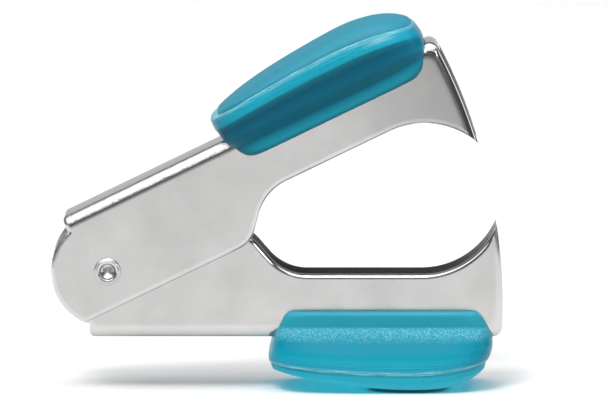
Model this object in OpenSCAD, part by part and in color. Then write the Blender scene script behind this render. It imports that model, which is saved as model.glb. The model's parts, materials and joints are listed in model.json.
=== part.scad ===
// Claw staple remover: two nested sheet-steel jaws on a rivet, plastic grips and a torsion spring.
// The lower jaw's web is level, and the upper jaw is held open about the rivet.

/* [Jaws] */
// Distance from the rivet's axis to the front of a jaw
jaw_reach = 51.2; // [50.6:0.1:52]
// Angle between the two webs at rest
open_angle = 25.8; // [20:0.1:27]
// Outer width of the upper jaw, which holds the lower one between its walls
outer_w = 11.5; // [11:0.1:12.5]
// Running gap between the two jaws' walls, on each side
side_gap = 0.15; // [0.1:0.05:0.3]
// Thickness of the steel sheet
sheet_t = 0.9; // [0.7:0.05:1]
// Height of the web's outer face from the rivet's axis
web_h = 8.75; // [8.6:0.05:8.9]
// Outer radius of the bend between web and wall
bend_r = 1.65; // [1.3:0.05:1.8]
// Radius of the walls' rear end about the rivet
rear_r = 7.35; // [6.8:0.05:7.4]
// How far the web reaches behind the rivet's axis
web_tail = 2.4; // [1:0.1:3]
// Depth of the lip that the web ends in at the nose
lip_h = 1.8; // [1.4:0.1:2]

/* [Fangs] */
// How far the fang's tip stands beyond the rivet's axis, away from the web
tip_drop = 5.9; // [5.5:0.1:6]
// Radius of the front edge, seen from the side
front_r = 68; // [60:1:80]
// Radius of the fang's inner edge
fang_r = 10.5; // [10:0.1:11]
// Height of the throat's edge above the rivet's axis
throat_v = 0.5; // [0.3:0.1:0.8]

/* [Rivet] */
// Radius of the rivet's shank
rivet_r = 1.2; // [1:0.05:1.4]
// Radial running clearance of the shank in the jaws
rivet_gap = 0.05; // [0.03:0.01:0.1]
// Outer radius of the rolled end
roll_r = 1.75; // [1.7:0.05:2]
// Radius of the hole in the rolled end
hollow_r = 1.03; // [0.8:0.01:1.05]
// Radius of the factory head on the other end
head_r = 2.3; // [2:0.1:2.6]

/* [Spring] */
// Diameter of the spring wire
wire_d = 0.9; // [0.7:0.05:1]
// Mean radius of the coil
coil_r = 2.2; // [2.1:0.05:2.4]
// Whole turns in the coil
coil_turns = 4; // [3:1:5]
// Length of each leg
leg_len = 15; // [12:0.5:18]

/* [Grips] */
// Where the upper grip starts and ends, measured along the jaw from the rivet
upper_span = [20.7, 49.9]; // [20:0.05:50.5]
// Where the lower grip starts and ends
lower_span = [21.05, 50]; // [20:0.05:50.5]
// Width of a grip across its rim
grip_w = 20; // [18:0.5:21]
// Width of the skirt on the jaw's walls
skirt_w = 14.25; // [14:0.05:15]
// Height of the skirt's free edge from the rivet's axis
skirt_v = 5.25; // [4.9:0.05:5.5]
// Greatest height of the rim from the rivet's axis
rim_v = 13.2; // [13:0.1:13.5]
// Height of the upper grip's crown above the rim
upper_crown = 1.75; // [1.5:0.05:2.5]
// Height of the lower grip's crown above the rim
lower_crown = 2.4; // [1.5:0.05:2.5]
// Radius of the stud that clips the grip into the web
stud_r = 1.55; // [1.3:0.05:1.7]

/* [Hidden] */

inner_w = outer_w - 2 * sheet_t - 2 * side_gap;
bore_r = rivet_r + rivet_gap;
nose_r = 1.25;
front_u = jaw_reach + 0.05;
front_v = 4.55;
fit_gap = 0.03;
far = 40;
steel = "gainsboro";
wire_steel = "darkgray";
plastic = "darkturquoise";

// Rivet axis in the part's frame: centred along X, with the lower grip's crown on the ground
pivot_x = (rear_r - front_u) / 2;
pivot_z = rim_v + lower_crown;

// Grips
grip_steps = 72;
crest_u = 39;
stud_u = 35.3;
barb_r = stud_r + 0.4;
barb_h = 1.1;

// Points of an arc about c from angle a to angle b, in n steps
function arc(c, r, a, b, n) =
    [for (i = [0 : n]) let (t = a + (b - a) * i / n) c + r * [cos(t), sin(t)]];

// ---- Jaws: drawn in the jaw's own plane, u forwards from the rivet and v towards the web ----

front_c = [front_u - front_r, front_v];
function front_at(v) = front_c[0] + sqrt(front_r * front_r - (v - front_v) * (v - front_v));
nose_c = [front_at(web_h) - nose_r, web_h - nose_r];
lobe_v = -4.8;
lobe_c = [16.6, -1.0];
lobe_r = lobe_c[1] - lobe_v;
neck_r = 6.5;
neck_c = [25.9, throat_v - neck_r];
tip_u = front_at(-tip_drop);
fang_c = [tip_u - sqrt(fang_r * fang_r - pow(fang_r - throat_v - tip_drop, 2)), throat_v - fang_r];
tip_a = atan2(-tip_drop - fang_c[1], tip_u - fang_c[0]);
heel_a = 180 + asin(-lobe_v / rear_r);
tail_v = sqrt(rear_r * rear_r - web_tail * web_tail);
tail_a = 180 - atan2(tail_v, web_tail);
tail_r = 0.65;

// Direction of the straight flank that joins the lobe's round corner to the neck's hollow corner
lobe_to_neck = neck_c - lobe_c;
flank_a = atan2(lobe_to_neck[1], lobe_to_neck[0]) - acos((lobe_r + neck_r) / norm(lobe_to_neck));

module jaw_side() {
    polygon(concat(
        arc([0, 0], rear_r, heel_a, tail_a, 28),
        arc([tail_r - web_tail, web_h - tail_r], tail_r, 180, 90, 6),
        arc(nose_c, nose_r, 90, 3, 8),
        [for (i = [1 : 11]) let (v = nose_c[1] - (nose_c[1] + tip_drop) * i / 12) [front_at(v), v]],
        arc(fang_c, fang_r, tip_a, 90, 14),
        arc(neck_c, neck_r, 90, 180 + flank_a, 12),
        arc(lobe_c, lobe_r, flank_a, -90, 14)));
}

// Outline of the channel across the jaw, w wide, with its corners rounded by r
module section(w, top, r) {
    polygon(concat(
        [[-w / 2, -far]],
        arc([r - w / 2, top - r], r, 180, 90, 8),
        arc([w / 2 - r, top - r], r, 90, 0, 8),
        [[w / 2, -far]]));
}

module channel(w, top, from) {
    translate([from, 0, 0]) rotate([90, 0, 90]) linear_extrude(3 * far) section(w, top, bend_r);
}

// The hollow between the walls, seen from the side: it is open at the front below the nose's lip
module hollow_side() {
    lip_u = front_at(web_h) - sheet_t;
    polygon([[-far, -far], [-far, web_h - sheet_t], [lip_u, web_h - sheet_t], [lip_u, web_h - lip_h],
        [2 * far, web_h - lip_h], [2 * far, -far]]);
}

module jaw(w) {
    difference() {
        intersection() {
            rotate([90, 0, 0]) linear_extrude(w, center = true) jaw_side();
            channel(w, web_h, -far);
        }
        rotate([90, 0, 0]) linear_extrude(w - 2 * sheet_t, center = true) hollow_side();
        rotate([90, 0, 0]) cylinder(h = 2 * w, r = bore_r, center = true, $fn = 48);
        translate([stud_u, 0, 0]) cylinder(h = far, r = stud_r + fit_gap, $fn = 48);
    }
}

// ---- Grips: rings of one rounded plan, swept from the skirt over the rim to the crown ----

// Height of the rim at u: it falls away towards both ends, faster in front of the crest
rear_fall = 0.004;
front_fall = 0.014;
function rim_at(u) = rim_v - (u < crest_u ? rear_fall : front_fall) * pow(u - crest_u, 2);

// One ring: the plan is a superellipse from u0 to u1, y wide each way, of power m
function plan(u0, u1, y, m) = [for (i = [0 : grip_steps - 1])
    let (a = 360 * i / grip_steps, c = cos(a), s = sin(a))
    [(u0 + u1) / 2 + (u1 - u0) / 2 * sign(c) * pow(abs(c), 2 / m), y * sign(s) * pow(abs(s), 2 / m)]];

// A ring of the side between u0 and u1, y wide each way, at the share f of the way from v up to the
// rim's line
function side_ring(v, f, u0, u1, y, m) =
    [for (p = plan(u0, u1, y, m)) [p[0], p[1], v + f * (rim_at(p[0]) - v)]];

// Rows of a grip's side: height, share, insets at the rear and front, half width and power.
// The skirt runs from its free edge to the flare, and its ends are rounded by corner
flare_v = skirt_v + 3.25;
function skirt(corner) = [
    [skirt_v, 0, 1.35 + 1.95 * corner, 1.05 + 1.95 * corner, skirt_w / 2 - 0.5, 9],
    [skirt_v + 0.33, 0, 1.35 + 0.95 * corner, 1.05 + 1.1 * corner, skirt_w / 2 - 0.12, 9],
    [skirt_v + 1.25, 0, 1.35, 1.05, skirt_w / 2, 8],
    [skirt_v + 1.95, 0, 0.95, 0.6, skirt_w / 2 + 0.05, 7],
    [flare_v, 0, 0.34, 0.14, skirt_w / 2 + 1.3, 6],
];

// The upper rim is a band with a crease below it. The lower one rounds over smoothly
upper_rim = [
    [flare_v, 0.42, 0, 0, grip_w / 2 - 0.66, 5],
    [flare_v, 0.6, -0.2, 0.06, grip_w / 2 - 0.1, 4.5],
    [flare_v, 0.93, -0.24, 0.28, grip_w / 2, 4.2],
    [flare_v, 1, -0.05, 0.45, grip_w / 2 - 0.25, 4.2],
];
lower_rim = [
    [flare_v, 0.42, 0, 0, grip_w / 2 - 0.58, 5],
    [flare_v, 0.72, -0.22, 0.2, grip_w / 2 - 0.12, 4.5],
    [flare_v, 0.92, -0.24, 0.5, grip_w / 2, 4.2],
    [flare_v, 1, -0.05, 0.8, grip_w / 2 - 0.15, 4.2],
];

// Height of a crown over the rim: a riser, then a shoulder that flattens inwards
function dome(rho, full, riser, power) =
    riser * sqrt(min(1, (1 - rho) / 0.012)) + (full - riser) * (1 - pow(rho, power));

// One ring of a crown, rho times the size of its foot. The crown falls by fall per mm behind crest
function crown_ring(rho, mid, reach, wide, crown, fall, crest, riser) =
    [for (p = plan(mid - rho * reach, mid + rho * reach, rho * wide, 4.1))
        let (full = crown - fall * max(0, crest - p[0]), power = 6 + 2 * max(0, (p[0] - mid) / reach))
        [p[0], p[1], rim_at(p[0]) + dome(rho, full, riser, power)]];

// A whole grip: its span, its side, how far the rear end leans in towards the skirt, its crown's
// height, fall and crest, the crown's riser, and the ledge behind, in front of and beside the crown
function grip_rings(span, side, lean, crown, fall, crest, riser, ledge) =
    let (foot = [span[0] + ledge[0], span[1] - ledge[1]], wide = grip_w / 2 - ledge[2],
         mid = (foot[0] + foot[1]) / 2, reach = (foot[1] - foot[0]) / 2)
    concat(
        [for (r = side)
            side_ring(r[0], r[1], span[0] + r[2] + lean * (1 - r[1]), span[1] - r[3], r[4], r[5])],
        [for (rho = [1, 0.988, 0.96, 0.92, 0.86, 0.78, 0.68, 0.55, 0.4, 0.22, 0.02])
            crown_ring(rho, mid, reach, wide, crown, fall, crest, riser)]);

// Closed skin over a list of rings that all have the same number of points
module skin(rings) {
    n = len(rings[0]);
    top = len(rings) - 1;
    polyhedron(
        points = [for (ring = rings) each ring],
        faces = concat(
            [[for (i = [0 : n - 1]) i]],
            [for (k = [0 : top - 1]) for (i = [0 : n - 1]) let (j = (i + 1) % n)
                each [[k * n + i, (k + 1) * n + i, k * n + j],
                      [k * n + j, (k + 1) * n + i, (k + 1) * n + j]]],
            [[for (i = [n - 1 : -1 : 0]) top * n + i]]));
}

module grip(w, rings) {
    difference() {
        skin(rings);
        channel(w + 2 * fit_gap, web_h + fit_gap, 0);
    }
    // Stud that snaps through the web
    translate([stud_u, 0, web_h - sheet_t - fit_gap]) cylinder(h = sheet_t + 0.5, r = stud_r, $fn = 48);
    translate([stud_u, 0, web_h - sheet_t - fit_gap - barb_h])
        cylinder(h = barb_h, r1 = barb_r - 0.6, r2 = barb_r, $fn = 48);
}

// ---- Placing: each jaw and its grip are drawn about the rivet and then turned ----

module in_upper() {
    translate([pivot_x, 0, pivot_z]) rotate([0, -open_angle, 0]) children();
}

module in_lower() {
    translate([pivot_x, 0, pivot_z]) mirror([0, 0, 1]) children();
}

module upper_jaw() {
    color(steel) in_upper() jaw(outer_w);
}

module lower_jaw() {
    color(steel) in_lower() jaw(inner_w);
}

module upper_grip() {
    color(plastic) in_upper() grip(outer_w, grip_rings(
        span = upper_span, side = concat(skirt(1), upper_rim), lean = -0.15, crown = upper_crown,
        fall = 0.045, crest = 42, riser = 0.3, ledge = [0.9, 0.55, 0.42]));
}

module lower_grip() {
    color(plastic) in_lower() grip(inner_w, grip_rings(
        span = lower_span, side = concat(skirt(0.55), lower_rim), lean = 0.3, crown = lower_crown,
        fall = 0.06, crest = crest_u, riser = 0.9, ledge = [0.12, 0.85, 0.25]));
}

// ---- Rivet: solid shank, factory head at the back, rolled and hollow end at the front ----

rivet_face = outer_w / 2 + fit_gap;
tube_r = (roll_r - hollow_r) / 2;
hollow_depth = 1.6;
head_h = 0.7;

module pivot_rivet() {
    color(steel) translate([pivot_x, 0, pivot_z]) rotate([90, 0, 0]) rotate_extrude($fn = 64)
        polygon(concat(
            [[0, -rivet_face - head_h]],
            arc([head_r - 0.5, -rivet_face - head_h + 0.5], 0.5, -90, 0, 6),
            [[head_r, -rivet_face], [rivet_r, -rivet_face], [rivet_r, rivet_face], [roll_r, rivet_face]],
            arc([roll_r - tube_r, rivet_face + 0.15], tube_r, 0, 180, 14),
            [[hollow_r, rivet_face + 0.6 - hollow_depth], [0, rivet_face - hollow_depth]]));
}

// ---- Spring: one wire along the lower leg, round the coil and out along the upper leg ----

coil_pitch = wire_d + 0.05;
coil_half = coil_pitch * coil_turns / 2;
// Angle at which a leg leaves the coil so that its far end lies along the web's inner face
leg_rest = web_h - sheet_t - wire_d / 2 - 0.1;
leg_a = asin((leg_rest - coil_r) / leg_len);
lower_a = -leg_a;
upper_a = open_angle + leg_a;
coil_a = 360 * coil_turns + 180 - (upper_a - lower_a);
wire_sides = 10;
wire_steps = 26;

function around(a, y) = [coil_r * cos(a), y, coil_r * sin(a)];
function along(a) = [cos(a), 0, sin(a)];

// The wire leaves tangent to the coil: the lower leg below it and the upper leg above it
wire_path = let (first = lower_a - 90, last = first - coil_a, count = wire_steps * coil_turns)
    concat(
        [for (d = [leg_len, 0.8]) around(first, -coil_half) + d * along(lower_a)],
        [for (i = [0 : count]) around(first - coil_a * i / count, -coil_half + 2 * coil_half * i / count)],
        [for (d = [0.8, leg_len]) around(last, coil_half) + d * along(upper_a)]);

function unit(v) = v / norm(v);
function heading(path, i) = unit(path[min(i + 1, len(path) - 1)] - path[max(i - 1, 0)]);

module torsion_spring() {
    rings = [for (i = [0 : len(wire_path) - 1])
        let (t = heading(wire_path, i), side = unit(cross(t, [0, 1, 0])), across = cross(t, side))
        [for (k = [0 : wire_sides - 1]) let (a = 360 * k / wire_sides)
            wire_path[i] + wire_d / 2 * (cos(a) * side + sin(a) * across)]];
    color(wire_steel) translate([pivot_x, 0, pivot_z]) skin(rings);
}

upper_jaw();
lower_jaw();
upper_grip();
lower_grip();
pivot_rivet();
torsion_spring();
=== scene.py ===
"""Claw staple remover: plated steel jaws, teal grips, a hollow rivet and a torsion spring."""

import json
import math

import bmesh
import bpy
from mathutils import Matrix, Vector


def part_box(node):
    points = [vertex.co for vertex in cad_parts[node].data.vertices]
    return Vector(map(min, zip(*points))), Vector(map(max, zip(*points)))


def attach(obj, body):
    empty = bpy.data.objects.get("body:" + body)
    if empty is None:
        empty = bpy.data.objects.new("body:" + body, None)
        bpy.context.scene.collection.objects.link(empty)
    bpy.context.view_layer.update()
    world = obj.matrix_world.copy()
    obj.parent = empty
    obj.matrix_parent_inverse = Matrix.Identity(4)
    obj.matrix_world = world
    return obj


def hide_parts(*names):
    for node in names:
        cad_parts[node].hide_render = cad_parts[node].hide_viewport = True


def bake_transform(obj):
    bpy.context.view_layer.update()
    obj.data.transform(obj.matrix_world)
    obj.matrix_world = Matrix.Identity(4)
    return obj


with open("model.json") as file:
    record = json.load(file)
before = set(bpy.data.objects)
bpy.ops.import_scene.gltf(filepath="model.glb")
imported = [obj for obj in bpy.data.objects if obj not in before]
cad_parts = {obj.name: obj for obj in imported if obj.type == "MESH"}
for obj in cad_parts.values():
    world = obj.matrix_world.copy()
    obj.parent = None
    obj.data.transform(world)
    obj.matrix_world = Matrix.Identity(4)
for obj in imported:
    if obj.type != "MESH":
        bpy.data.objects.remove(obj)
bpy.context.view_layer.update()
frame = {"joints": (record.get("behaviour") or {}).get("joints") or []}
scene = bpy.context.scene

# ---- Driving sizes, in millimetres, in a jaw's own plane: u forwards from the rivet, v to the web ----

MM = 0.001
OPEN = math.radians(25.8)
OUTER_W = 11.5
SHEET = 0.9
SIDE_GAP = 0.15
INNER_W = OUTER_W - 2 * SHEET - 2 * SIDE_GAP
WEB_H = 8.75
BEND_R = 1.65
REAR_R = 7.35
WEB_TAIL = 2.4
TAIL_R = 0.65
LIP_H = 1.8
FRONT_U = 51.25
FRONT_V = 4.55
FRONT_R = 68.0
NOSE_R = 1.25
TIP_DROP = 5.9
FANG_R = 10.5
THROAT_V = 0.5
LOBE_V = -4.8
LOBE_C = (16.6, -1.0)
NECK_R = 6.5
NECK_C = (25.9, THROAT_V - NECK_R)
BORE_R = 1.25
STUD_R = 1.55
STUD_BARB = 0.4
STUD_TIP = 1.1
FIT_GAP = 0.03

STUD_U = 35.3
GRIP_HALF_W = 10.0
RIM_V = 13.2
CREST_U = 39.0

PIVOT = Vector(frame["joints"][0]["pos_m"]) / MM


# ---- Placing a jaw's own plane in the shared frame ----

UPPER = Matrix.Translation(PIVOT) @ Matrix.Rotation(-OPEN, 4, "Y")
LOWER = Matrix.Translation(PIVOT) @ Matrix.Scale(-1, 4, (0, 0, 1))
AT_PIVOT = Matrix.Translation(PIVOT)


def arc(c, r, a, b, n):
    """Points of an arc from a to b degrees, in n steps."""
    steps = [math.radians(a + (b - a) * i / n) for i in range(n + 1)]
    return [(c[0] + r * math.cos(t), c[1] + r * math.sin(t)) for t in steps]


def circles_meet(c0, r0, c1, r1):
    """The upper of the two points where two circles cross."""
    a, b = Vector(c0), Vector(c1)
    gap = (b - a).length
    along = (r0 * r0 - r1 * r1 + gap * gap) / (2 * gap)
    out = math.sqrt(max(r0 * r0 - along * along, 0.0))
    way = (b - a) / gap
    foot = a + way * along
    side = Vector((-way.y, way.x)) * out
    return max((foot + side, foot - side), key=lambda p: p.y)


# ---- Mesh helpers ----


def finish_mesh(name, bm, place, angle=32):
    """Turns a bmesh in millimetres into a placed object with outward faces and sharp edges kept."""
    bmesh.ops.recalc_face_normals(bm, faces=bm.faces)
    mesh = bpy.data.meshes.new(name)
    bm.to_mesh(mesh)
    bm.free()
    mesh.transform(Matrix.Scale(MM, 4) @ place)
    if place.determinant() < 0:
        mesh.flip_normals()
    mesh.polygons.foreach_set("use_smooth", [True] * len(mesh.polygons))
    mesh.set_sharp_from_angle(angle=math.radians(angle))
    obj = bpy.data.objects.new(name, mesh)
    scene.collection.objects.link(obj)
    return obj


def loft(rings, capped=True):
    """A bmesh skin over closed rings that all have the same number of points."""
    bm = bmesh.new()
    rows = [[bm.verts.new(p) for p in ring] for ring in rings]
    count = len(rows[0])
    for low, high in zip(rows, rows[1:]):
        for i in range(count):
            j = (i + 1) % count
            bm.faces.new((low[i], low[j], high[j], high[i]))
    if capped:
        bm.faces.new(rows[0])
        bm.faces.new(rows[-1])
    return bm


def plain_object(name, bm):
    bmesh.ops.recalc_face_normals(bm, faces=bm.faces)
    mesh = bpy.data.meshes.new(name)
    bm.to_mesh(mesh)
    bm.free()
    obj = bpy.data.objects.new(name, mesh)
    scene.collection.objects.link(obj)
    return obj


def carve(bm, cutters, operation="DIFFERENCE"):
    """Takes each cutter away from a bmesh, or adds it, and gives the result as a new bmesh."""
    body = plain_object("carving", bm)
    tools = [plain_object("tool", cutter) for cutter in cutters]
    for tool in tools:
        step = body.modifiers.new("step", "BOOLEAN")
        step.operation = operation
        step.solver = "EXACT"
        step.object = tool
    bpy.context.view_layer.update()
    result = body.evaluated_get(bpy.context.evaluated_depsgraph_get())
    out = bmesh.new()
    out.from_mesh(result.to_mesh())
    for obj in [body] + tools:
        bpy.data.objects.remove(obj)
    return out


def rod(c, r, half, axis, sides=96):
    """A round cutter through c = (u, y, v), along Y or along Z."""
    bm = bmesh.new()
    turn = Matrix.Rotation(math.pi / 2, 4, "X") if axis == "Y" else Matrix.Identity(4)
    bmesh.ops.create_cone(
        bm, cap_ends=True, segments=sides, radius1=r, radius2=r, depth=2 * half,
        matrix=Matrix.Translation(c) @ turn,
    )
    return bm


# ---- Jaws ----

DIE_ROLL = 0.58
FRONT_ROLL = 1.5
FRONT_ROLL_W = 0.75
# The flat of a wall starts this far inside its rolled edges
FLAT_INSET = 0.14
# The web's rear corner gets no sharper than this as the bend lowers it
LEAST_CORNER = 0.12


def front_at(v, inset=0.0):
    return FRONT_U - FRONT_R + math.sqrt((FRONT_R - inset) ** 2 - (v - FRONT_V) ** 2)


TIP_U = front_at(-TIP_DROP)
FANG_C = (
    TIP_U - math.sqrt(FANG_R**2 - (FANG_R - THROAT_V - TIP_DROP) ** 2),
    THROAT_V - FANG_R,
)
LOBE_R = LOBE_C[1] - LOBE_V


def jaw_outline(drop, cut, front):
    """The jaw's side outline with its web lowered by drop, cut edges drawn in by cut, front by front."""
    rear = REAR_R - cut
    heel = 180 + math.degrees(math.asin((-LOBE_V - cut) / rear))
    tail_v = math.sqrt(rear**2 - (WEB_TAIL - cut) ** 2)
    tail = 180 - math.degrees(math.atan2(tail_v, WEB_TAIL - cut))
    top = WEB_H - drop
    corner = max(LEAST_CORNER, min(TAIL_R, top - tail_v - 0.02))
    nose = (front_at(top - NOSE_R, front) - NOSE_R, top - NOSE_R)
    front_c = (FRONT_U - FRONT_R, FRONT_V)
    tip = circles_meet(front_c, FRONT_R - front, FANG_C, FANG_R + cut)
    tip_a = math.degrees(math.atan2(tip.y - FANG_C[1], tip.x - FANG_C[0]))
    way = Vector(NECK_C) - Vector(LOBE_C)
    flank = math.degrees(math.atan2(way.y, way.x) - math.acos((LOBE_R + NECK_R) / way.length))
    steps = 56
    rise = [nose[1] + (tip.y - nose[1]) * (i / steps) ** 0.9 for i in range(1, steps)]
    return (
        arc((0, 0), rear, heel, tail, 64)
        + arc((corner + cut - WEB_TAIL, top - corner), corner, 180, 90, 10)
        + arc(nose, NOSE_R, 90, 0, 16)
        + [(front_at(v, front), v) for v in rise]
        + arc(FANG_C, FANG_R + cut, tip_a, 90, 40)
        + arc(NECK_C, NECK_R + cut, 90, 180 + flank, 32)
        + arc(LOBE_C, LOBE_R - cut, flank, -90, 32)
    )


def jaw_rings(half):
    """Outlines across the jaw: the bend, the rolled front edge and the die roll of the cut edges."""
    into = {0.0}
    into |= {BEND_R * (1 - math.sin(math.radians(a))) for a in range(0, 90, 9)}
    into |= {DIE_ROLL * (1 - math.sin(math.radians(a))) for a in range(0, 90, 15)}
    rings = []
    for depth in sorted(into):
        drop = BEND_R - math.sqrt(BEND_R**2 - (BEND_R - min(depth, BEND_R)) ** 2)
        cut = DIE_ROLL - math.sqrt(DIE_ROLL**2 - (DIE_ROLL - min(depth, DIE_ROLL)) ** 2)
        roll = (FRONT_ROLL_W - min(depth, FRONT_ROLL_W)) / FRONT_ROLL_W
        front = FRONT_ROLL * (1 - math.sqrt(1 - roll**2)) if roll < 1 else FRONT_ROLL
        rings.append((half - depth, jaw_outline(drop, cut, front)))
    face = jaw_outline(BEND_R + FLAT_INSET, DIE_ROLL + FLAT_INSET, FRONT_ROLL + FLAT_INSET)
    rings.insert(0, (half, face))
    near = [[(u, -y, v) for u, v in outline] for y, outline in rings]
    back = [[(u, y, v) for u, v in outline] for y, outline in reversed(rings)]
    return near + back


def hollow(half):
    """The space between the walls: open at the rear and below, and at the front under the lip."""
    far = 80.0
    lip = front_at(WEB_H) - SHEET
    bend = BEND_R - SHEET
    rings = []
    for a in range(0, 91, 15):
        t = math.radians(a)
        y = half - bend + bend * math.sin(t)
        top = WEB_H - SHEET - bend * (1 - math.cos(t))
        turn = arc((lip - bend, top - bend), bend, 90, 0, 6)
        line = [(-far, -far), (-far, top)] + turn + [
            (lip, WEB_H - LIP_H), (far, WEB_H - LIP_H), (far, -far)]
        rings.append((y, line))
    near = [[(u, -y, v) for u, v in line] for y, line in reversed(rings)]
    back = [[(u, y, v) for u, v in line] for y, line in rings]
    return loft(near + back)


def jaw(name, width, place):
    half = width / 2
    bm = carve(loft(jaw_rings(half)), [
        hollow(half - SHEET),
        rod((0, 0, 0), BORE_R, half + 1, "Y"),
        rod((STUD_U, 0, WEB_H), STUD_R + FIT_GAP, 2, "Z"),
    ])
    along = bm.verts.layers.float.new("along")
    for vert in bm.verts:
        vert[along] = vert.co.x
    return finish_mesh(name, bm, place)


# ---- Grips ----

# Rows of the side: height, share of the way from there up to the rim's line, how far the rear and front
# ends are drawn in, half width, and the plan's squareness. The skirt's first rows are rounded corners,
# drawn in from the row that follows them
CORNER = [
    (5.25, 0, 1.95, 1.95, 6.62, 9.0),
    (5.33, 0, 1.50, 1.60, 6.84, 9.0),
    (5.58, 0, 0.95, 1.10, 7.00, 8.8),
    (5.90, 0, 0.50, 0.60, 7.07, 8.5),
]
SKIRT = [
    (6.50, 0, 1.35, 1.05, 7.12, 8.0),
    (7.10, 0, 1.00, 0.66, 7.16, 7.4),
    (7.35, 0, 0.88, 0.54, 7.28, 7.0),
    (7.80, 0, 0.64, 0.35, 7.74, 6.5),
    (8.50, 0, 0.34, 0.14, 8.42, 6.0),
]
# The upper rim is a band with a crease below it. The lower one rounds over smoothly
UPPER_RIM = [
    (8.50, 0.22, 0.15, 0.04, 8.92, 5.4),
    (8.50, 0.42, 0.00, 0.00, 9.34, 5.0),
    (8.50, 0.51, -0.10, 0.02, 9.60, 4.8),
    (8.50, 0.58, -0.18, 0.05, 9.85, 4.6),
    (8.50, 0.65, -0.23, 0.09, 9.96, 4.4),
    (8.50, 0.93, -0.24, 0.28, 9.91, 4.2),
    (8.50, 0.98, -0.18, 0.34, 9.84, 4.2),
    (8.50, 1.00, -0.05, 0.45, 9.72, 4.2),
]
LOWER_RIM = [
    (8.50, 0.22, 0.15, 0.03, 8.96, 5.4),
    (8.50, 0.42, 0.00, 0.04, 9.38, 5.0),
    (8.50, 0.58, -0.13, 0.10, 9.65, 4.7),
    (8.50, 0.72, -0.21, 0.22, 9.82, 4.5),
    (8.50, 0.84, -0.24, 0.36, 9.92, 4.3),
    (8.50, 0.93, -0.22, 0.52, 9.95, 4.2),
    (8.50, 0.98, -0.13, 0.68, 9.90, 4.2),
    (8.50, 1.00, -0.03, 0.80, 9.82, 4.2),
]
FLARE_V = SKIRT[-1][0]
GRIP_COUNT = 240
# The crown's squareness in plan, the share of its reach that its riser takes, and the narrowest ledge
# that its foot is drawn on
CROWN_POWER = 4.1
RISER_W = 0.012
LEAST_LEDGE = 0.3
# Each pad: its span, its corners' size, its rim, how far the rear end leans in towards the skirt, its
# crown's height, fall, crest and riser, and the ledge behind, in front of and beside the crown
UPPER_PAD = dict(span=(20.7, 49.9), corner=1.0, rim=UPPER_RIM, lean=-0.15, crown=1.75, fall=0.045,
                 crest=42.0, riser=0.3, ledge=(0.9, 0.55, 0.42))
LOWER_PAD = dict(span=(21.05, 50.0), corner=0.62, rim=LOWER_RIM, lean=0.1, crown=2.4, fall=0.06,
                 crest=CREST_U, riser=0.75, ledge=(0.05, 0.9, 0.26))


def rim_at(u):
    return RIM_V - (0.004 if u < CREST_U else 0.014) * (u - CREST_U) ** 2


def plan(u0, u1, half_w, power):
    """A superellipse from u0 to u1, with its points evenly spaced round it."""
    dense = 1440
    mid, reach = (u0 + u1) / 2, (u1 - u0) / 2
    track = []
    for i in range(dense):
        a = 2 * math.pi * i / dense
        c, s = math.cos(a), math.sin(a)
        track.append(Vector((
            mid + reach * math.copysign(abs(c) ** (2 / power), c),
            half_w * math.copysign(abs(s) ** (2 / power), s))))
    lengths = [(track[(i + 1) % dense] - track[i]).length for i in range(dense)]
    step = sum(lengths) / GRIP_COUNT
    points, passed, due = [], 0.0, 0.0
    for i, length in enumerate(lengths):
        while due < passed + length and len(points) < GRIP_COUNT:
            points.append(track[i].lerp(track[(i + 1) % dense], (due - passed) / length))
            due += step
        passed += length
    return points


def between(rows, per):
    """Catmull-Rom steps between rows of numbers, per of them to each interval."""
    out = []
    for i in range(len(rows) - 1):
        p = [rows[max(i - 1, 0)], rows[i], rows[i + 1], rows[min(i + 2, len(rows) - 1)]]
        for k in range(per):
            t = k / per
            out.append([
                0.5 * (2 * b + (c - a) * t + (2 * a - 5 * b + 4 * c - d) * t * t
                       + (3 * b - a - 3 * c + d) * t**3)
                for a, b, c, d in zip(*p)])
    return out + [list(rows[-1])]


def grip_rings(span, corner, rim, lean, crown, fall, crest, riser, ledge):
    """A pad's rings from the skirt's lower edge up the side, and then inwards over the crown."""
    rear_u, front_u = span
    first = SKIRT[0]
    corners = [(v, share, first[2] + corner * rear, first[3] + corner * front, half_w, power)
               for v, share, rear, front, half_w, power in CORNER]
    rings = []
    for v, share, rear, front, half_w, power in between(corners + SKIRT + rim, 3):
        points = plan(rear_u + rear + lean * (1 - share), front_u - front, half_w, power)
        rings.append([(p.x, p.y, v + share * (rim_at(p.x) - v)) for p in points])
    low, high = rear_u + ledge[0], front_u - ledge[1]
    mid, reach, wide = (low + high) / 2, (high - low) / 2, GRIP_HALF_W - ledge[2]
    # Close rings over the riser and the shoulder, then even ones to the middle
    shoulder = [1 - 0.0015 * i * i for i in range(9)] + [0.89 - 0.033 * i for i in range(27)]
    # A crown that is flush with the rim has no ledge to cross
    foot = [1 + RISER_W] if ledge[2] > LEAST_LEDGE else []
    for rho in foot + shoulder:
        ring = []
        for p in plan(mid - reach * rho, mid + reach * rho, wide * rho, CROWN_POWER):
            full = crown - fall * max(0.0, crest - p.x)
            # The shoulder is squarer towards the front
            power = 6 + 2 * max(0.0, (p.x - mid) / reach)
            ring.append((p.x, p.y, rim_at(p.x) + dome(rho, full, riser, power)))
        rings.append(ring)
    return rings


def dome(rho, full, riser, power):
    """A crown's height over the rim: a riser, then a shoulder that flattens inwards."""
    if rho > 1:
        return 0.0
    return riser * min(1.0, (1 - rho) / RISER_W) ** 0.5 + (full - riser) * (1 - rho**power)


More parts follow.
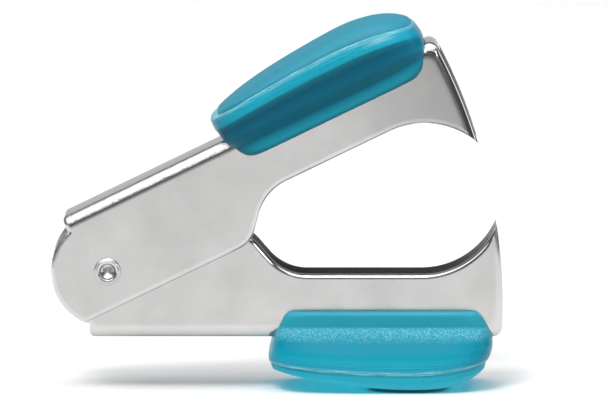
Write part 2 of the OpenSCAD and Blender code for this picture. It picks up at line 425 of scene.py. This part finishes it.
def envelope(width):
    """The outside of a jaw's channel, a fitting gap larger, as a long bar along u."""
    half, top = width / 2 + FIT_GAP, WEB_H + FIT_GAP
    deep, far = -30.0, 80.0
    line = [(-half, deep)]
    line += arc((BEND_R - half, top - BEND_R), BEND_R, 180, 90, 12)
    line += arc((half - BEND_R, top - BEND_R), BEND_R, 90, 0, 12)
    line += [(half, deep)]
    return loft([[(u, y, v) for y, v in line] for u in (0.0, far)])


def stud():
    """The stud under the thumb pad, with a barb that catches behind the web."""
    base = WEB_H - SHEET - FIT_GAP
    tip, root = base - STUD_TIP, WEB_H + 0.5
    barb = STUD_R + STUD_BARB
    profile = [(0.0, tip), (barb - 0.75, tip), (barb - 0.6, tip + 0.12),
               (barb - 0.06, base - 0.12), (barb, base - 0.03), (barb - 0.02, base),
               (STUD_R, base), (STUD_R, root), (0.0, root)]
    return lathe(profile, 64)


def lathe(profile, sides):
    """A closed solid of revolution about Z from (radius, height) pairs that start and end on it."""
    inner = profile[1:-1]
    bm = loft([[(r * math.cos(2 * math.pi * i / sides), r * math.sin(2 * math.pi * i / sides), z)
                for i in range(sides)] for r, z in inner], capped=False)
    bm.verts.ensure_lookup_table()
    for point, first in ((profile[0], 0), (profile[-1], (len(inner) - 1) * sides)):
        hub = bm.verts.new((0, 0, point[1]))
        bm.verts.ensure_lookup_table()
        for i in range(sides):
            bm.faces.new((hub, bm.verts[first + i], bm.verts[first + (i + 1) % sides]))
    return bm


def even_height(point):
    """Height on a pad as if its rim were level: true below the flare, then stretched up to the rim."""
    rim = rim_at(point.x)
    if point.z <= FLARE_V:
        return point.z
    if point.z <= rim:
        return FLARE_V + (point.z - FLARE_V) * (RIM_V - FLARE_V) / (rim - FLARE_V)
    return RIM_V + point.z - rim


def grip(name, width, place, pad):
    shell = carve(loft(grip_rings(**pad)), [envelope(width)])
    peg = stud()
    bmesh.ops.translate(peg, verts=peg.verts, vec=(STUD_U, 0, 0))
    bm = carve(shell, [peg], "UNION")
    height, along = bm.verts.layers.float.new("height"), bm.verts.layers.float.new("along")
    for vert in bm.verts:
        vert[height] = even_height(vert.co)
        vert[along] = vert.co.x
    return finish_mesh(name, bm, place, angle=40)


# ---- Rivet and spring ----

RIVET_R = 1.2
ROLL_R = 1.75
HOLLOW_R = 1.03
FUNNEL_R = 0.93
FUNNEL_D = 0.62
ROLL_H = 0.22
HEAD_R = 2.3
HEAD_H = 0.7
HEAD_EDGE = 0.12
RIVET_FACE = OUTER_W / 2 + FIT_GAP


def rivet(name):
    """Domed factory head at the back, solid shank, and the hollow end rolled over at the front."""
    tube = (ROLL_R - HOLLOW_R) / 2
    head = [(HEAD_R * math.sin(t), -RIVET_FACE - HEAD_EDGE - (HEAD_H - HEAD_EDGE) * math.cos(t))
            for t in (math.radians(a) for a in range(0, 91, 6))]
    profile = [(0.0, head[0][1])] + head[1:] + [
        (HEAD_R, -RIVET_FACE - 0.04), (HEAD_R - 0.05, -RIVET_FACE), (RIVET_R, -RIVET_FACE),
        (RIVET_R, RIVET_FACE), (ROLL_R - 0.1, RIVET_FACE), (ROLL_R - 0.02, RIVET_FACE + 0.04)]
    # The rolled end is flattened, with a shallow groove round its crest
    for a in range(0, 181, 6):
        groove = 0.05 * math.exp(-(((a - 70) / 11) ** 2))
        t = math.radians(a)
        rise = RIVET_FACE + 0.1 + ROLL_H * math.sin(t) - groove
        profile.append((ROLL_R - tube + tube * math.cos(t), rise))
    # A punch left a funnel in it
    mouth = RIVET_FACE - 0.14
    profile += [(HOLLOW_R - 0.03, RIVET_FACE - 0.04), (FUNNEL_R, mouth)]
    profile += [(FUNNEL_R * (1 - t) ** 0.9, mouth - FUNNEL_D * t)
                for t in (0.1, 0.25, 0.4, 0.55, 0.7, 0.82, 0.92)]
    profile += [(0.0, mouth - FUNNEL_D - 0.02)]
    bm = lathe(profile, 128)
    bmesh.ops.rotate(bm, verts=bm.verts, matrix=Matrix.Rotation(math.pi / 2, 3, "X"))
    return finish_mesh(name, bm, AT_PIVOT, angle=38)


WIRE_R = 0.45
WIRE_SIDES = 20
WIRE_CHAMFER = 0.08
LEG_GAP = 0.1
COIL_GAP = 0.05
COIL_R = 2.2
COIL_TURNS = 4
LEG_LEN = 15.0


def spring(name):
    """One wire: in along the lower leg, round the coil, and out along the upper leg."""
    leg_rest = WEB_H - SHEET - WIRE_R - LEG_GAP
    slope = math.asin((leg_rest - COIL_R) / LEG_LEN)
    low, high = -slope, OPEN + slope
    turn = 2 * math.pi * COIL_TURNS + math.pi - (high - low)
    half = (2 * WIRE_R + COIL_GAP) * COIL_TURNS / 2
    first, last = low - math.pi / 2, low - math.pi / 2 - turn
    count = 64 * COIL_TURNS

    def on_coil(a, y):
        return Vector((COIL_R * math.cos(a), y, COIL_R * math.sin(a)))

    def leg(a, y, way, d):
        return on_coil(a, y) + d * Vector((math.cos(way), 0, math.sin(way)))

    legs = [LEG_LEN * i / 24 for i in range(24, 0, -1)]
    path = [leg(first, -half, low, d) for d in legs]
    path += [on_coil(first - turn * i / count, -half + 2 * half * i / count) for i in range(count + 1)]
    path += [leg(last, half, high, d) for d in reversed(legs)]
    rings = []
    for i, point in enumerate(path):
        way = (path[min(i + 1, len(path) - 1)] - path[max(i - 1, 0)]).normalized()
        side = way.cross(Vector((0, 1, 0))).normalized()
        across = way.cross(side)
        # The cut ends of the wire are chamfered
        r = WIRE_R - WIRE_CHAMFER if i in (0, len(path) - 1) else WIRE_R
        rings.append([point + r * (math.cos(a) * side + math.sin(a) * across)
                      for a in (2 * math.pi * k / WIRE_SIDES for k in range(WIRE_SIDES))])
    return finish_mesh(name, loft(rings), AT_PIVOT)


# ---- Materials ----

# The pale teal of the painted highlight and painted reflection on the rims
HIGHLIGHT_TEAL = (0.5, 0.84, 0.92)


class Graph:
    """A material's node tree with a Principled shader in it."""

    def __init__(self, name, **fixed):
        self.material = bpy.data.materials.new(name)
        self.material.use_nodes = True
        self.tree = self.material.node_tree
        self.shader = self.tree.nodes["Principled BSDF"]
        for socket, value in fixed.items():
            self.shader.inputs[socket.replace("_", " ")].default_value = value
        self.coords = self.add("ShaderNodeTexCoord").outputs["Object"]

    def add(self, kind, links=None, **props):
        made = self.tree.nodes.new(kind)
        for key, value in props.items():
            setattr(made, key, value)
        for socket, value in (links or {}).items():
            if isinstance(value, bpy.types.NodeSocket):
                self.tree.links.new(value, made.inputs[socket])
            else:
                made.inputs[socket].default_value = value
        return made

    def noise(self, scale, detail=3.0, rough=0.5, vector=None):
        made = self.add("ShaderNodeTexNoise", {"Scale": scale, "Detail": detail, "Roughness": rough})
        self.tree.links.new(vector or self.coords, made.inputs["Vector"])
        return made.outputs["Fac"]

    def remap(self, value, low, high, to_low, to_high):
        made = self.add("ShaderNodeMapRange", {
            "Value": value, "From Min": low, "From Max": high, "To Min": to_low, "To Max": to_high})
        return made.outputs[0]

    def maths(self, operation, a, b):
        return self.add("ShaderNodeMath", {0: a, 1: b}, operation=operation).outputs[0]

    def mix_colour(self, factor, a, b):
        made = self.add("ShaderNodeMix", {"Factor": factor}, data_type="RGBA")
        for index, value in ((6, a), (7, b)):
            if isinstance(value, bpy.types.NodeSocket):
                self.tree.links.new(value, made.inputs[index])
            else:
                made.inputs[index].default_value = (*value, 1)
        return made.outputs[2]

    def bump(self, height, distance, strength=1.0, normal=None):
        made = self.add("ShaderNodeBump", {"Height": height, "Distance": distance, "Strength": strength})
        if normal:
            self.tree.links.new(normal, made.inputs["Normal"])
        return made.outputs[0]

    def set(self, **sockets):
        for socket, value in sockets.items():
            self.tree.links.new(value, self.shader.inputs[socket.replace("_", " ")])


def plated_steel(name, roughness, fang_darkening, bend_highlight_and_peel):
    """Nickel plate over rolled sheet, with soft smudges.

    It is darker towards the fangs. The bends beside the web get a painted highlight, a whiter plate, and
    peel.
    """
    g = Graph(name, Metallic=1.0)
    smudge = g.noise(130.0, 7.0, 0.7)
    clouds = g.noise(34.0, 2.0, 0.5)
    peel = g.noise(3600.0, 2.0, 0.75)
    normal = g.add("ShaderNodeTexCoord").outputs["Normal"]
    across = g.maths("ABSOLUTE", g.add("ShaderNodeSeparateXYZ", {"Vector": normal}).outputs["Y"], 0.0)
    bent = g.remap(across, 0.94, 0.998, 1, 0)
    # A bend proper, which leaves out the flat web and the cut edges
    curved = g.maths("MULTIPLY", bent, g.remap(across, 0.02, 0.18, 0.1, 1))
    webwards = g.add("ShaderNodeVectorMath", {0: normal, 1: (-math.sin(OPEN), 0, math.cos(OPEN))},
                     operation="DOT_PRODUCT").outputs["Value"]
    # Painted highlight: a bend that faces the way of the upper web is mixed towards a whiter plate
    crest = g.maths("MULTIPLY", curved, g.remap(webwards, 0.1, 0.35, 0, bend_highlight_and_peel))
    tone = g.maths("ADD", g.remap(smudge, 0.35, 0.65, 0, 0.8), g.remap(clouds, 0.35, 0.65, 0, 0.2))
    plate = g.mix_colour(tone, (0.60, 0.592, 0.583), (0.53, 0.524, 0.518))
    along = g.add("ShaderNodeAttribute", attribute_name="along").outputs["Fac"]
    # Darker towards the fangs
    plate = g.mix_colour(g.remap(along, 34, 49, 0, fang_darkening), plate, (0.20, 0.197, 0.194))
    g.set(Base_Color=g.mix_colour(g.maths("MULTIPLY", crest, 0.7), plate, (0.80, 0.79, 0.78)))
    worn = g.remap(smudge, 0.3, 0.75, roughness, roughness + 0.06)
    g.set(Roughness=g.maths("SUBTRACT", worn, g.maths("MULTIPLY", bent, 0.14)))
    g.set(Normal=g.bump(g.maths("MULTIPLY", peel, g.remap(crest, 0, 1, 0.02, 1)), 0.00007))
    return g.material


def spring_wire():
    g = Graph("spring_wire", Metallic=1.0)
    drawn = g.noise(2600.0, 3.0)
    g.set(Base_Color=g.mix_colour(drawn, (0.40, 0.39, 0.38), (0.56, 0.55, 0.54)))
    g.set(Roughness=g.remap(drawn, 0.3, 0.7, 0.26, 0.42))
    g.set(Normal=g.bump(drawn, 0.00001))
    return g.material


def teal_plastic(name, tones_with_painted_shade, grain, glint_dots, edge_highlight_spread, front_reflection):
    """Moulded teal: spark-eroded texture on the flare, a matt crown, and a polished, streaked rim.

    Heights are a pad's own, as if its rim were level: the skirt is below 7.1, the flare below
    FLARE_V, the flank below about 11, the rim below RIM_V, and the crown above it.
    """
    g = Graph(name, IOR=1.46, Specular_IOR_Level=0.22)
    height = g.add("ShaderNodeAttribute", attribute_name="height").outputs["Fac"]
    along = g.add("ShaderNodeAttribute", attribute_name="along").outputs["Fac"]
    cloud = g.noise(220.0, 3.0)
    spark = g.noise(6200.0, 1.5, 0.7)
    fine = g.noise(9000.0, 1.0, 0.6)

    def zone(low, full, fade, end, most=1.0):
        rise = g.remap(height, low, full, 0, most)
        return g.maths("MULTIPLY", rise, g.remap(height, fade, end, 1, 0))

    def track(x, y):
        return g.add("ShaderNodeCombineXYZ", {"X": g.maths("MULTIPLY", along, x),
                                              "Y": g.maths("MULTIPLY", height, y)}).outputs[0]

    crown = g.remap(height, 13.25, 13.6, 0, 1)
    # The ramp by height paints light and shade into the teal
    ramp = g.add("ShaderNodeValToRGB", {"Fac": g.remap(height, 5, 15, 0, 1)})
    stops = ramp.color_ramp.elements
    for i, (at, colour) in enumerate(tones_with_painted_shade):
        stop = stops[i] if i < 2 else stops.new(1.0)
        stop.position, stop.color = (at - 5) / 10, (*colour, 1)
    shade = g.mix_colour(g.remap(cloud, 0.3, 0.7, 0, 0.1), ramp.outputs[0], (0.004, 0.25, 0.36))
    front_end = g.maths("MULTIPLY", g.remap(along, 45.5, 49.5, 0, 0.7), zone(10.2, 11, 13.2, 13.5))
    shade = g.mix_colour(front_end, shade, (0.003, 0.25, 0.40))
    # Texture: most on the flare above the skirt, a little on the flank above it and on the skirt
    textured = g.maths("ADD", zone(7.0, 7.5, 8.5, 9.3), zone(9.3, 10.2, 10.6, 11.1, 0.3))
    textured = g.maths("ADD", textured, g.remap(height, 6.9, 7.4, 0.25, 0))
    sparkle = g.maths("MULTIPLY", grain, textured)
    # The cutter that made the mould left streaks along the rim. Its edge gets a painted highlight,
    # broken into patches
    streaks = g.maths("MULTIPLY", g.noise(1.0, 3.0, 0.6, track(0.22, 7.0)), zone(11.3, 12.2, 13.3, 13.6))
    edge_highlight_patches = g.remap(g.noise(1.0, 3.0, 0.7, track(0.35, 14.0)), 0.7 - edge_highlight_spread, 0.76 - edge_highlight_spread / 2, 0, 0.75)
    painted_edge_highlight = g.maths("MULTIPLY", zone(12.6, 12.8, 13.1, 13.35), edge_highlight_patches)
    shade = g.mix_colour(painted_edge_highlight, shade, HIGHLIGHT_TEAL)
    # A painted reflection: a pale, streaked patch on the rim near its front
    painted_reflection = g.maths("MULTIPLY", g.remap(along, 42.2, 44.4, 0, front_reflection), g.remap(along, 45.2, 47.2, 1, 0))
    painted_reflection = g.maths("MULTIPLY", g.maths("MULTIPLY", painted_reflection, zone(11.9, 12.3, 12.7, 13.0)),
                   g.remap(g.noise(1.0, 3.0, 0.7, track(0.5, 9.0)), 0.3, 0.6, 0.3, 1))
    shade = g.mix_colour(painted_reflection, shade, HIGHLIGHT_TEAL)
    # Painted glints: pale dots on the flare where the texture's pits would catch the light
    painted_glints = g.remap(g.noise(6200.0, 2.0, 0.85), 0.54, 0.58, 0, glint_dots)
    painted_glints = g.maths("MULTIPLY", painted_glints, zone(7.0, 7.5, 7.9, 9.3))
    g.set(Base_Color=g.mix_colour(painted_glints, shade, (0.5, 0.85, 0.92)))
    matt = g.remap(g.maths("ADD", sparkle, crown), 0, 1, 0.3, 0.5)
    matt = g.maths("ADD", matt, zone(12.7, 12.9, 13.3, 13.5, 0.12))
    glints = g.maths("MULTIPLY", g.remap(spark, 0.45, 0.6, 0.0, -0.26), sparkle)
    g.set(Roughness=g.maths("ADD", matt, glints))
    first = g.bump(g.maths("MULTIPLY", spark, sparkle), 0.0001)
    second = g.bump(streaks, 0.00012, 1.0, first)
    g.set(Normal=g.bump(g.maths("MULTIPLY", fine, crown), 0.00003, 1.0, second))
    return g.material


def floor_paper():
    g = Graph("floor_paper", Roughness=0.9)
    tooth = g.noise(600.0, 3.0)
    g.set(Base_Color=g.mix_colour(tooth, (0.93, 0.93, 0.93), (0.95, 0.95, 0.95)))
    g.set(Normal=g.bump(tooth, 0.00002))
    return g.material


# ---- Pieces ----

# The upper jaw's and the rivet's bends get a painted highlight, the lower jaw's none
steel_upper = plated_steel("plated_steel_upper", roughness=0.22, fang_darkening=0.48, bend_highlight_and_peel=1.0)
steel_lower = plated_steel("plated_steel_lower", roughness=0.22, fang_darkening=0.0, bend_highlight_and_peel=0.0)
steel_rivet = plated_steel("plated_steel_rivet", roughness=0.29, fang_darkening=0.0, bend_highlight_and_peel=0.4)
# Tones of a pad by height: skirt, flare, flank, rim and crown, with light and shade painted in, so the
# upper and lower pads' materials are lit and shaded copies of one teal. The upper pad's flank is painted
# dark, its rim light and its crown a duller teal, and the lower pad's crown is painted lighter
UPPER_TONES_WITH_PAINTED_SHADE = [
    (6.0, (0.022, 0.42, 0.56)), (7.1, (0.008, 0.31, 0.455)), (7.6, (0.008, 0.38, 0.57)),
    (8.4, (0.004, 0.33, 0.52)), (9.0, (0.001, 0.265, 0.425)), (10.3, (0.0, 0.205, 0.35)),
    (11.5, (0.022, 0.56, 0.76)), (12.85, (0.02, 0.54, 0.73)), (13.15, (0.02, 0.33, 0.45)),
    (13.5, (0.035, 0.265, 0.365))]
LOWER_TONES_WITH_PAINTED_SHADE = [
    (6.6, (0.03, 0.37, 0.49)), (7.9, (0.012, 0.33, 0.46)), (9.7, (0.0, 0.28, 0.41)),
    (11.3, (0.008, 0.35, 0.48)), (13.2, (0.008, 0.37, 0.50)), (13.5, (0.014, 0.43, 0.57))]
teal_upper = teal_plastic("teal_plastic_upper_painted_shade", UPPER_TONES_WITH_PAINTED_SHADE, grain=0.3, glint_dots=0.0, edge_highlight_spread=0.26, front_reflection=0.6)
teal_lower = teal_plastic("teal_plastic_lower_painted_shade", LOWER_TONES_WITH_PAINTED_SHADE, grain=1.0, glint_dots=0.52, edge_highlight_spread=0.26, front_reflection=0.0)

upper_sheet = jaw("upper_jaw_sheet", OUTER_W, UPPER)
lower_sheet = jaw("lower_jaw_sheet", INNER_W, LOWER)
upper_pad = grip("upper_pad", OUTER_W, UPPER, UPPER_PAD)
lower_pad = grip("lower_pad", INNER_W, LOWER, LOWER_PAD)

# Each piece, the CAD node that it replaces, its body (none for the spring, which joins both), its
# material and its slot
PIECES = [
    (upper_sheet, "upper_jaw", "upper", steel_upper, "jaw_steel"),
    (lower_sheet, "lower_jaw", "lower", steel_lower, "jaw_steel"),
    (upper_pad, "upper_grip", "upper", teal_upper, "grip_plastic"),
    (lower_pad, "lower_grip", "lower", teal_lower, "grip_plastic"),
    (rivet("rolled_rivet"), "pivot_rivet", "lower", steel_rivet, "rivet_steel"),
    (spring("spring_coil"), "torsion_spring", None, spring_wire(), "spring_wire"),
]

for piece, node, body, material, slot in PIECES:
    piece.data.materials.append(material)
    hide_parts(node)
    if body:
        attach(piece, body)
    else:
        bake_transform(piece)


# ---- Floor, lights and camera ----

FLOOR_HALF = 6.0
floor_bm = bmesh.new()
bmesh.ops.create_grid(floor_bm, x_segments=1, y_segments=1, size=FLOOR_HALF)
floor = plain_object("floor", floor_bm)
floor.data.materials.append(floor_paper())
floor.visible_diffuse = False

world = bpy.data.worlds.new("studio")
scene.world = world
world.use_nodes = True
backdrop = world.node_tree.nodes["Background"]
backdrop.inputs["Color"].default_value = (0.75, 0.78, 0.82, 1)
backdrop.inputs["Strength"].default_value = 0.16


def softbox(name, at, size, watts, aim):
    data = bpy.data.lights.new(name, "AREA")
    data.shape = "RECTANGLE"
    data.size, data.size_y = size
    data.energy = watts
    obj = bpy.data.objects.new(name, data)
    scene.collection.objects.link(obj)
    obj.location = at
    obj.rotation_euler = (Vector(aim) - Vector(at)).to_track_quat("-Z", "Y").to_euler()
    return obj


CENTRE = (0.0, 0.0, 0.03)
softbox("overhead", (-0.1, -0.2, 1.0), (1.8, 1.7), 18.0, CENTRE)
softbox("right_strip", (0.9, -0.15, 0.3), (0.25, 0.5), 0.8, CENTRE)
# Seen only in reflections: a small lamp overhead that picks out the texture, another at the front right,
# and a card behind the part
glint = softbox("glint", (0.0, -0.45, 0.9), (0.14, 0.14), 1.6, CENTRE)
back_card = softbox("back_card", (0.0, 0.9, 0.12), (1.6, 0.2), 0.45, CENTRE)
front_right = softbox("front_right", (0.62, -0.9, 0.42), (0.14, 0.2), 0.9, CENTRE)
for lamp in (glint, back_card, front_right):
    lamp.visible_camera = False
    lamp.visible_diffuse = False
# The key light comes from the front, half way up, and is as even over the floor as over the object
key_data = bpy.data.lights.new("key", "SUN")
key_data.energy = 1.5
key_data.angle = math.radians(20)
key = bpy.data.objects.new("key", key_data)
scene.collection.objects.link(key)
key.rotation_euler = Vector((0.2, 0.62, -0.76)).to_track_quat("-Z", "Y").to_euler()
key.visible_glossy = False

# A light table under the lower grip lifts the side that faces the floor
TABLE_H = 0.0004
grip_low, grip_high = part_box("lower_grip")
grip_x = (grip_low[0] + grip_high[0]) / 2
table = softbox("light_table", (grip_x, 0.0, TABLE_H), (0.05, 0.034), 0.005, (grip_x, 0.0, 1.0))
table.visible_camera = False
table.visible_glossy = False

# The view is almost level and nearly parallel: a long lens from 1.2 m, a few degrees above
PITCH = math.radians(5.9)
DISTANCE = 1.2
VIEW_SHIFT = Vector((25.44, -6.1, 9.04)) * MM
LENS = 549.3
camera_data = bpy.data.cameras.new("camera")
camera_data.lens = LENS
camera_data.sensor_width = 36
camera_data.clip_end = 20
camera = bpy.data.objects.new("camera", camera_data)
scene.collection.objects.link(camera)
camera.location = PIVOT * MM + VIEW_SHIFT + DISTANCE * Vector((0, -math.cos(PITCH), math.sin(PITCH)))
camera.rotation_euler = (math.pi / 2 - PITCH, 0, 0)
scene.camera = camera
scene.view_settings.view_transform = "Standard"
